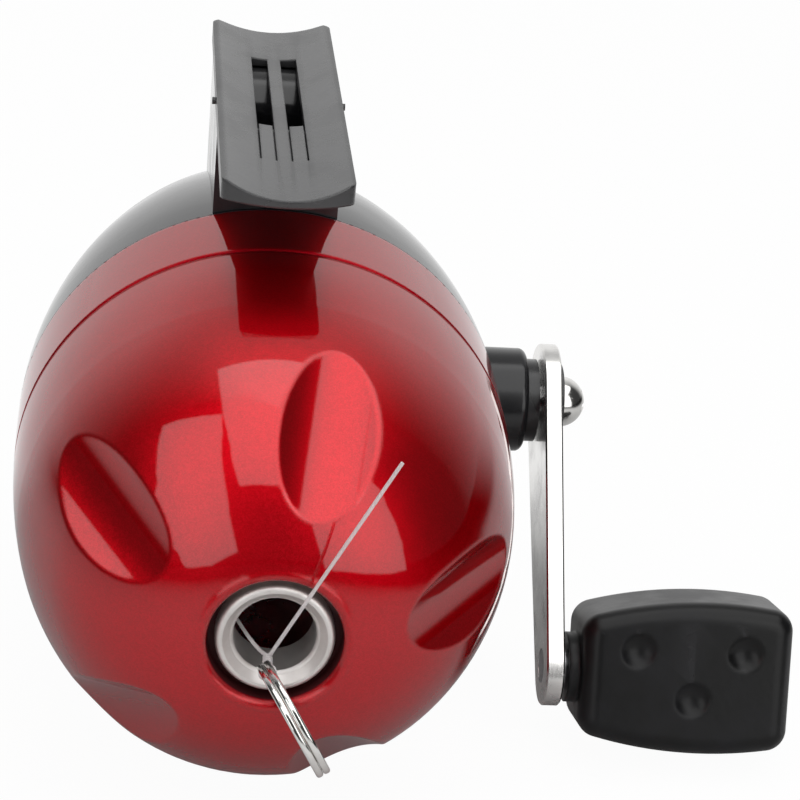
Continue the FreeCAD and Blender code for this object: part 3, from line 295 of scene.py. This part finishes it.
def candy_red():
    """Red lacquer over fine metal flake, under a clear coat. The guide's recess is painted dark as
    shade and paler towards its top as a painted reflection, the seam is painted darker red with its coat
    taken off as shade in its groove, and the joint with the black body is a fine dark line."""
    material, b, shader = new_material(
        "candy_red", Coat_Weight=1.0, Coat_Roughness=0.012, Coat_IOR=1.5, IOR=1.45,
        Coat_Tint=(0.80, 0.20, 0.32, 1.0), Specular_Tint=(0.30, 0.06, 0.12, 1.0),
    )
    surface = soft_normal(b, 0.7)
    b.link(surface, shader["Coat Normal"])
    flakes = group(b, FLAKES, Scale=8000.0, Lean=0.06, Normal=surface)
    wear = group(b, WEAR, Scale=60.0)
    around = group(b, AROUND)
    shade = b.mix(flakes["Shade"], (0.50, 0.003, 0.012, 1), (0.66, 0.008, 0.026, 1))
    cloudy = b.add("ShaderNodeTexNoise", {
        "Vector": b.object_place(), "Scale": 900.0, "Detail": 3.0,
    })
    shade = b.mix(b.ramp(cloudy.outputs["Fac"], 0.35, 0.7, 0.0, 0.08), shade, (0.30, 0.0, 0.003, 1))
    # Painted shade: inside the guide's recess the red is painted dark, loses its coat and most of its
    # metal, and turns rougher
    in_recess = b.math(
        "MULTIPLY", b.ramp(around["Radius"], *RECESS_WALL), b.ramp(around["Along"], *RECESS_MOUTH),
    )
    recess_shade = b.math("MULTIPLY", in_recess, b.ramp(around["Along"], *RECESS_FLOOR))
    # Painted reflection: the recess's painted shade turns paler towards its top
    upper_reflection = b.ramp(around["Height"], *RECESS_REFLECTION_HEIGHT)
    recess_shade_and_reflection = b.mix(upper_reflection, (0.045, 0.012, 0.012, 1), (0.20, 0.165, 0.15, 1))
    joint = b.ramp(around["Along"], *COLLAR_END)
    # Painted shade: at the seam the outer surface is painted darker red and its clear coat is taken off
    from_middle = b.math("ABSOLUTE", b.math("SUBTRACT", around["Along"], SEAM_MIDDLE))
    seam = b.math("MULTIPLY", b.ramp(from_middle, *SEAM_FROM_MIDDLE), b.ramp(around["Radius"], *SEAM_DEPTH))
    shade = b.mix(seam, shade, (0.40, 0.003, 0.010, 1))
    colour = b.mix(joint, b.mix(recess_shade, shade, recess_shade_and_reflection), (0.06, 0.04, 0.045, 1))
    recess_shade_or_joint = b.math("MAXIMUM", recess_shade, joint)
    b.link(colour, shader["Base Color"])
    b.link(b.math("SUBTRACT", 0.88, b.math("MULTIPLY", recess_shade_or_joint, 0.86)), shader["Metallic"])
    coat_removed = b.math("MAXIMUM", recess_shade_or_joint, seam)
    b.link(b.math("SUBTRACT", 1.0, b.math("MULTIPLY", coat_removed, 0.9)), shader["Coat Weight"])
    rough = b.math("ADD", 0.40, b.math("MULTIPLY", wear["Smudge"], 0.04))
    b.link(b.math("ADD", rough, b.math("MULTIPLY", recess_shade, 0.3)), shader["Roughness"])
    b.link(flakes["Normal"], shader["Normal"])
    return material


BOSS_SIDE = (24.6, 25.6)


def gloss_black():
    """Glossy black moulding, a little duller on the crank boss."""
    material, b, shader = new_material("gloss_black", IOR=1.46)
    wear = group(b, WEAR, Scale=90.0)
    boss = b.ramp(group(b, AROUND)["Side"], *BOSS_SIDE)
    b.link(b.mix(wear["Smudge"], (0.008, 0.008, 0.009, 1), (0.013, 0.013, 0.014, 1)), shader["Base Color"])
    rough = b.math("ADD", 0.08, b.math("MULTIPLY", wear["Smudge"], 0.05))
    rough = b.math("ADD", rough, b.math("MULTIPLY", boss, 0.12))
    b.link(b.math("ADD", rough, b.math("MULTIPLY", wear["Hairline"], 0.08)), shader["Roughness"])
    grain = group(b, GRAIN, Scale=900.0)
    b.link(b.bump(grain["Height"], 0.04).outputs[0], shader["Normal"])
    return material


def moulded(name, dark, pale, rough, grain_scale, strength, soft=0.0, gloss=0.5):
    """Moulded plastic: fine grain, faint smudges, edges rubbed paler where it is handled. Soft
    rounds its edges by that many millimetres."""
    material, b, shader = new_material(name, IOR=1.5, Specular_IOR_Level=gloss)
    wear = group(b, WEAR, Scale=110.0)
    grain = group(b, GRAIN, Scale=grain_scale)
    colour = b.mix(wear["Smudge"], (*dark, 1), (*pale, 1))
    rubbed = b.ramp(b.add("ShaderNodeNewGeometry").outputs["Pointiness"], 0.52, 0.62, 0.0, 0.5)
    rubbed_shade = [min(1.0, part * 1.7 + 0.01) for part in pale]
    colour = b.mix(rubbed, colour, (*rubbed_shade, 1))
    b.link(colour, shader["Base Color"])
    smudged = b.math("MULTIPLY", wear["Smudge"], 0.10)
    polished = b.math("MULTIPLY", rubbed, 0.12)
    b.link(b.math("ADD", rough, b.math("SUBTRACT", smudged, polished)), shader["Roughness"])
    bump = b.bump(grain["Height"], strength)
    if soft:
        b.link(soft_normal(b, soft), bump.inputs["Normal"])
    b.link(bump.outputs[0], shader["Normal"])
    return material


def metal(name, dark, pale, rough, brushed, spin=False):
    """Bare or plated metal with smudges, hairlines and brushing, or turning marks where it is spun."""
    material, b, shader = new_material(name, Metallic=1.0)
    wear = group(b, WEAR, Scale=150.0)
    b.link(b.mix(wear["Smudge"], (*pale, 1), (*dark, 1)), shader["Base Color"])
    base = b.math("ADD", rough, b.math("MULTIPLY", wear["Smudge"], 0.07))
    b.link(b.math("ADD", base, b.math("MULTIPLY", wear["Hairline"], 0.12)), shader["Roughness"])
    if spin:
        around = group(b, AROUND)
        along = b.math("MULTIPLY", around["Along"], 0.7)
        rings = b.add("ShaderNodeCombineXYZ", {"X": around["Radius"], "Y": along})
        marks = b.add("ShaderNodeTexNoise", {"Vector": rings.outputs[0], "Scale": 9.0, "Detail": 4.0})
    else:
        long_way = b.add("ShaderNodeMapping", {"Vector": b.object_place(), "Scale": (1.0, 0.16, 0.16)})
        marks = b.add("ShaderNodeTexNoise", {"Vector": long_way.outputs[0], "Scale": 5200.0, "Detail": 3.0})
    raised = b.math("MULTIPLY", marks.outputs["Fac"], brushed)
    scratched = b.math("MULTIPLY", wear["Hairline"], -0.15)
    b.link(b.bump(b.math("ADD", raised, scratched), 0.35, 0.03 * MM).outputs[0], shader["Normal"])
    return material


def clear_line():
    """Clear nylon, a little cloudy."""
    material, b, shader = new_material("clear_line", Transmission_Weight=0.5, IOR=1.4)
    cloud = b.add("ShaderNodeTexNoise", {"Vector": b.object_place(), "Scale": 500.0, "Detail": 2.0})
    b.link(b.mix(cloud.outputs["Fac"], (0.70, 0.66, 0.66, 1), (0.82, 0.78, 0.78, 1)), shader["Base Color"])
    b.link(b.ramp(cloud.outputs["Fac"], 0.3, 0.7, 0.36, 0.46), shader["Roughness"])
    return material


LINE_MM = 0.4


def wound_line():
    """The winding on the spool: turns of line side by side, painted darker between them as shade and paler
    on their crests as a painted highlight.
    """
    material, b, shader = new_material("wound_line", IOR=1.5)
    around = group(b, AROUND)
    wave = b.math("SINE", b.math("MULTIPLY", around["Along"], 2 * math.pi / LINE_MM))
    crest_highlight = b.ramp(wave, -1.0, 1.0)
    # Painted shade and highlight: darker between the turns, paler on their crests
    b.link(b.mix(crest_highlight, (0.45, 0.44, 0.42, 1), (0.80, 0.79, 0.76, 1)), shader["Base Color"])
    b.link(b.ramp(wave, -1.0, 1.0, 0.4, 0.2), shader["Roughness"])
    b.link(b.bump(wave, 0.8).outputs[0], shader["Normal"])
    return material


MATERIALS = {
    "candy_red": candy_red(),
    "gloss_black": gloss_black(),
    "foot_gray": moulded(
        "foot_gray", (0.014, 0.014, 0.015), (0.021, 0.021, 0.022), 0.29, 2400.0, 0.06,
        soft=0.4, gloss=0.75,
    ),
    "stem_black": moulded("stem_black", (0.010, 0.010, 0.011), (0.016, 0.016, 0.017), 0.14, 2400.0, 0.02),
    "bush_black": moulded("bush_black", (0.006, 0.006, 0.007), (0.010, 0.010, 0.011), 0.27, 2000.0, 0.05),
    "knob_black": moulded(
        "knob_black", (0.004, 0.004, 0.004), (0.006, 0.006, 0.007), 0.29, 1700.0, 0.08,
        soft=0.7, gloss=0.23,
    ),
    "button_black": moulded("button_black", (0.012, 0.012, 0.013), (0.02, 0.02, 0.021), 0.40, 1600.0, 0.25),
    "pale_plastic": moulded("pale_plastic", (0.55, 0.54, 0.50), (0.66, 0.65, 0.61), 0.45, 1500.0, 0.15),
    "guide_steel": metal("guide_steel", (0.70, 0.67, 0.65), (0.80, 0.77, 0.75), 0.48, 0.20, spin=True),
    "nickel": metal("nickel", (0.66, 0.65, 0.63), (0.80, 0.79, 0.77), 0.10, 0.12),
    "satin_nickel": metal("satin_nickel", (0.60, 0.59, 0.58), (0.80, 0.79, 0.77), 0.22, 0.45),
    "bright_steel": metal("bright_steel", (0.52, 0.52, 0.52), (0.70, 0.70, 0.70), 0.20, 0.4),
    "spun_metal": metal("spun_metal", (0.50, 0.50, 0.51), (0.68, 0.68, 0.69), 0.26, 0.6, spin=True),
    "cast_metal": metal("cast_metal", (0.36, 0.37, 0.38), (0.50, 0.51, 0.52), 0.42, 0.8),
    "dark_steel": metal("dark_steel", (0.24, 0.24, 0.25), (0.36, 0.36, 0.37), 0.32, 0.6),
    "brass": metal("brass", (0.52, 0.36, 0.14), (0.74, 0.55, 0.26), 0.26, 0.5),
    "bronze": metal("bronze", (0.38, 0.24, 0.11), (0.55, 0.38, 0.19), 0.42, 0.7),
    "clear_line": clear_line(),
    "wound_line": wound_line(),
}

DRESS = {
    "candy_red": ("front_cover", "cover_collar"),
    "gloss_black": ("rear_body",),
    "foot_gray": ("foot_plate",),
    "stem_black": ("foot_stem",),
    "bush_black": ("crank_bush", "crank_washer"),
    "knob_black": ("knob",),
    "button_black": ("thumb_button",),
    "pale_plastic": ("spool", "spool_clip"),
    "guide_steel": ("line_guide", "guide_retainer"),
    "nickel": ("crank_screw", "split_ring"),
    "satin_nickel": ("crank_arm",),
    "bright_steel": (
        "crank_shaft", "main_shaft", "deck_screws_set", "bridge_screws", "foot_screws",
        "pawl_pin", "pickup_pin", "rotor_nut", "shaft_clip", "bearing_bridge",
    ),
    "spun_metal": ("rotor",),
    "cast_metal": ("drive_gear", "deck_frame"),
    "dark_steel": ("ratchet_wheel", "pawl", "button_spring", "knob_rivet"),
    "brass": ("pinion_gear",),
    "bronze": ("front_bush", "rear_bush"),
    "clear_line": ("fishing_line", "line_knot"),
    "wound_line": ("line_winding",),
}


def dress(piece, name):
    piece.data.materials.clear()
    piece.data.materials.append(MATERIALS[name])


for material_name, names in DRESS.items():
    for name in names:
        dress(nodes[name], material_name)


# The line, from inside the guide to its knot, and on to its free end

LINE_ROUTE = [
    (-3.70, -30.40, -0.63),
    (-2.42, -33.40, -1.25),
    (-0.66, -35.79, -1.90),
    (-0.03, -36.05, -0.51),
    (1.15, -36.48, 2.07),
    (3.36, -37.20, 6.82),
    (7.15, -38.10, 14.70),
    (10.84, -38.60, 22.14),
]


def line_curve(name, points, thickness):
    """Round strand along a smooth open curve in the row's frame."""
    data = bpy.data.curves.new(name, "CURVE")
    data.dimensions = "3D"
    data.bevel_depth = thickness / 2
    data.bevel_resolution = 6
    data.resolution_u = 24
    data.use_fill_caps = True
    spline = data.splines.new("NURBS")
    spline.points.add(len(points) - 1)
    for point, spot in zip(spline.points, points):
        point.co = (*spot, 1.0)
    spline.order_u = 3
    spline.use_endpoint_u = True
    strand = bpy.data.objects.new(name, data)
    collection.objects.link(strand)
    return strand


LINE_THICK = LINE_MM * MM
line = line_curve("line_strand", [reel(*point) for point in LINE_ROUTE], LINE_THICK)
dress(line, "clear_line")
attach(line, "housing")
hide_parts("fishing_line")


# Knot: two loops round the ring's wire, and wraps of line round the standing part, with sizes in
# millimetres. It stands at KNOT_AT, its Z along the barrel.

KNOT_AT = Vector((-0.70, -37.60, -2.49))
KNOT_TURNS = (("Z", -6.82), ("Y", -16.68), ("X", -71.11))
KNOT_STRAND = 0.36
EYE_RADIUS, EYE_LOOPS, EYE_STEPS = 0.80, 2, 12
EYE_HALF_WIDTH = 0.16
EYE_CLOSE = 0.97
WRAP_RADIUS, WRAPS, WRAP_STEPS = 0.36, 4, 8
BARREL_LOW, BARREL_LONG = 1.05, 1.1


def knot_strand():
    """One strand: in at the barrel's back, twice round the ring's wire, and back in close wraps."""
    axes = Matrix.Identity(3)
    for way, degrees in KNOT_TURNS:
        axes = axes @ Matrix.Rotation(math.radians(degrees), 3, way)
    spots = []

    def place(x, y, z):
        spots.append(reel(*(KNOT_AT + axes @ Vector((x, y, z)))))

    place(0.06, -0.15, 2.3)
    place(0.06, -0.16, 1.6)
    for step in range(EYE_LOOPS * EYE_STEPS + 1):
        angle = math.pi / 2 - 2 * math.pi * (step / EYE_STEPS) * EYE_CLOSE
        side = EYE_HALF_WIDTH * (2 * step / (EYE_LOOPS * EYE_STEPS) - 1)
        place(EYE_RADIUS * math.cos(angle), side, EYE_RADIUS * math.sin(angle))
    for step in range(WRAPS * WRAP_STEPS + 1):
        angle = 2 * math.pi * step / WRAP_STEPS
        rise = BARREL_LOW + BARREL_LONG * step / (WRAPS * WRAP_STEPS)
        place(WRAP_RADIUS * math.cos(angle), WRAP_RADIUS * math.sin(angle), rise)
    return spots


knot = line_curve("knot_wraps", knot_strand(), KNOT_STRAND * MM)
dress(knot, "clear_line")
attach(knot, "housing")
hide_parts("line_knot")


# Button's spring: held by the bridge, shown as a copy of the spring piece that moves with the housing


def button_coils():
    """The spring's coils: a copy of the spring piece, moved with the housing in place of the piece."""
    coils = bpy.data.objects.new("button_coils", nodes["button_spring"].data.copy())
    collection.objects.link(coils)
    dress(coils, "dark_steel")
    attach(coils, "housing")
    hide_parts("button_spring")
    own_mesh(coils)


button_coils()


# Small rounds on the solids' edges, in millimetres, so that they catch the light

def round_edges(name, width):
    bevel = nodes[name].modifiers.new("edge_round", "BEVEL")
    bevel.width = width * MM
    bevel.segments = 3
    bevel.limit_method = "ANGLE"
    bevel.angle_limit = math.radians(35.0)
    bevel.harden_normals = True
    bevel.use_clamp_overlap = True


round_edges("foot_plate", 0.18)
round_edges("foot_stem", 0.12)
round_edges("crank_arm", 0.08)
round_edges("crank_washer", 0.12)
round_edges("line_guide", 0.08)


# Studio, in metres: pale floor and backdrop, one large soft panel overhead and one on each side
# of the camera

LIGHT_FOCUS = reel(0.0, -10.0, 0.0)
PANEL_AWAY = 0.7
FLOOR_Z = -0.07215
FLOOR_HALF = 2.5


def panel(name, toward, along, shift, size, radiance):
    """Soft area lamp square to the way toward it, its first side by along, moved by shift in its
    own plane."""
    way = Vector(toward).normalized()
    across = Vector(along) - way * Vector(along).dot(way)
    across.normalize()
    upward = way.cross(across)
    data = bpy.data.lights.new(name, "AREA")
    data.shape = "RECTANGLE"
    data.size, data.size_y = size
    data.energy = radiance * math.pi * size[0] * size[1]
    lamp = bpy.data.objects.new(name, data)
    spot = LIGHT_FOCUS + way * PANEL_AWAY + across * shift[0] + upward * shift[1]
    lamp.matrix_world = Matrix.Translation(spot) @ Matrix((across, upward, way)).transposed().to_4x4()
    collection.objects.link(lamp)


panel("panel_top", (0.0, 0.0, 1.0), (1.0, 0.0, 0.0), (0.16, -0.245), (0.86, 1.05), 2.0)
panel("panel_left", (-0.71, -0.41, 0.57), (0.07, -0.84, -0.53), (0.24, 0.105), (1.34, 0.38), 1.9)
panel("panel_right", (0.63, -0.75, 0.21), (0.77, 0.64, 0.0), (-0.05, 0.0525), (0.50, 0.735), 1.9)


def backness(b, x, y):
    """How squarely a way or place lies behind the reel: 1 straight behind it, 0 abreast of it."""
    level = b.add("ShaderNodeCombineXYZ", {"X": x, "Y": y}).outputs[0]
    return b.vector("DOT_PRODUCT", {0: b.vector("NORMALIZE", {0: level}), 1: (0.0, 1.0, 0.0)}, "Value")


def studio_floor():
    """Pale floor that the camera and glass see as white, with the reel's shadow kept faint. Gloss
    sees it white behind the reel. Elsewhere gloss sees painted shade: a painted shadow close under the
    reel, paler further out, and dark far off in front and to the right."""
    mesh = bpy.data.meshes.new("studio_floor")
    signs = ((-1, -1), (1, -1), (1, 1), (-1, 1))
    corners = [(FLOOR_HALF * x, FLOOR_HALF * y, FLOOR_Z) for x, y in signs]
    mesh.from_pydata(corners, [], [(0, 1, 2, 3)])
    floor = bpy.data.objects.new("studio_floor", mesh)
    collection.objects.link(floor)
    material = bpy.data.materials.new("studio_pale")
    material.use_nodes = True
    material.node_tree.nodes.clear()
    b = Nodes(material.node_tree)
    path = b.add("ShaderNodeLightPath").outputs
    spot = b.add("ShaderNodeNewGeometry").outputs["Position"]
    place = b.add("ShaderNodeSeparateXYZ", {"Vector": spot}).outputs
    far = b.vector("LENGTH", {0: spot}, "Value")
    squarely = b.ramp(backness(b, place["X"], place["Y"]), 0.40, 0.80)
    behind = b.math("MULTIPLY", b.ramp(place["Y"], 0.02, 0.06), squarely)
    # Painted shade for gloss: a painted shadow close under the reel, and dark far off in front and to the
    # right
    right_side_shade = b.ramp(place["X"], 0.15, 0.23, 1.0, 0.08)
    painted_shadow_near = b.ramp(far, 0.07, 0.14, 0.44, 0.62)
    ahead = b.math("MULTIPLY", b.ramp(far, 0.16, 0.36), b.math("SUBTRACT", 1.0, behind))
    dimmed = b.math("SUBTRACT", 1.0, b.math("MULTIPLY", ahead, 0.94))
    in_gloss = b.math("MULTIPLY", b.math("MULTIPLY", painted_shadow_near, dimmed), right_side_shade)
    glossy = path["Is Glossy Ray"]
    for_gloss = b.math("MULTIPLY", in_gloss, glossy)
    for_rest = b.math("MULTIPLY", 0.8, b.math("SUBTRACT", 1.0, glossy))
    shade = b.math("ADD", for_gloss, for_rest)
    gray = b.add("ShaderNodeCombineColor", {0: shade, 1: shade, 2: shade})
    matte = b.add("ShaderNodeBsdfDiffuse", {"Color": gray.outputs[0]})
    glow = b.add("ShaderNodeEmission", {"Color": (1, 1, 1, 1), "Strength": 1.0})
    seen = b.math("MAXIMUM", path["Is Camera Ray"], path["Is Transmission Ray"])
    seen = b.math("MAXIMUM", seen, b.math("MULTIPLY", glossy, behind))
    mix = b.add("ShaderNodeMixShader", {0: b.math("MULTIPLY", seen, 0.96)})
    b.link(matte.outputs[0], mix.inputs[1])
    b.link(glow.outputs[0], mix.inputs[2])
    b.link(mix.outputs[0], b.add("ShaderNodeOutputMaterial").inputs["Surface"])
    mesh.materials.append(material)


def studio_world():
    """White for the camera. A white backdrop stands behind the reel, and the rest is a dim room."""
    world = bpy.data.worlds.new("studio")
    scene.world = world
    world.use_nodes = True
    world.node_tree.nodes.clear()
    b = Nodes(world.node_tree)
    path = b.add("ShaderNodeLightPath").outputs
    way = b.add("ShaderNodeTexCoord").outputs["Generated"]
    parts = b.add("ShaderNodeSeparateXYZ", {"Vector": way}).outputs
    squarely = b.ramp(backness(b, parts["X"], parts["Y"]), 0.28, 0.90)
    high = b.math("MAXIMUM", parts["Z"], 0.0)
    wall = b.math("MULTIPLY", squarely, b.ramp(high, 0.35, 0.75, 1.0, 0.6))
    level = b.math("ADD", 0.05, b.math("MULTIPLY", wall, 0.95))
    strength = b.math("MAXIMUM", level, path["Is Camera Ray"])
    glow = b.add("ShaderNodeBackground", {"Color": (1, 1, 1, 1), "Strength": strength})
    b.link(glow.outputs[0], b.add("ShaderNodeOutputWorld").inputs["Surface"])


studio_floor()
studio_world()

scene.view_settings.view_transform = "Standard"
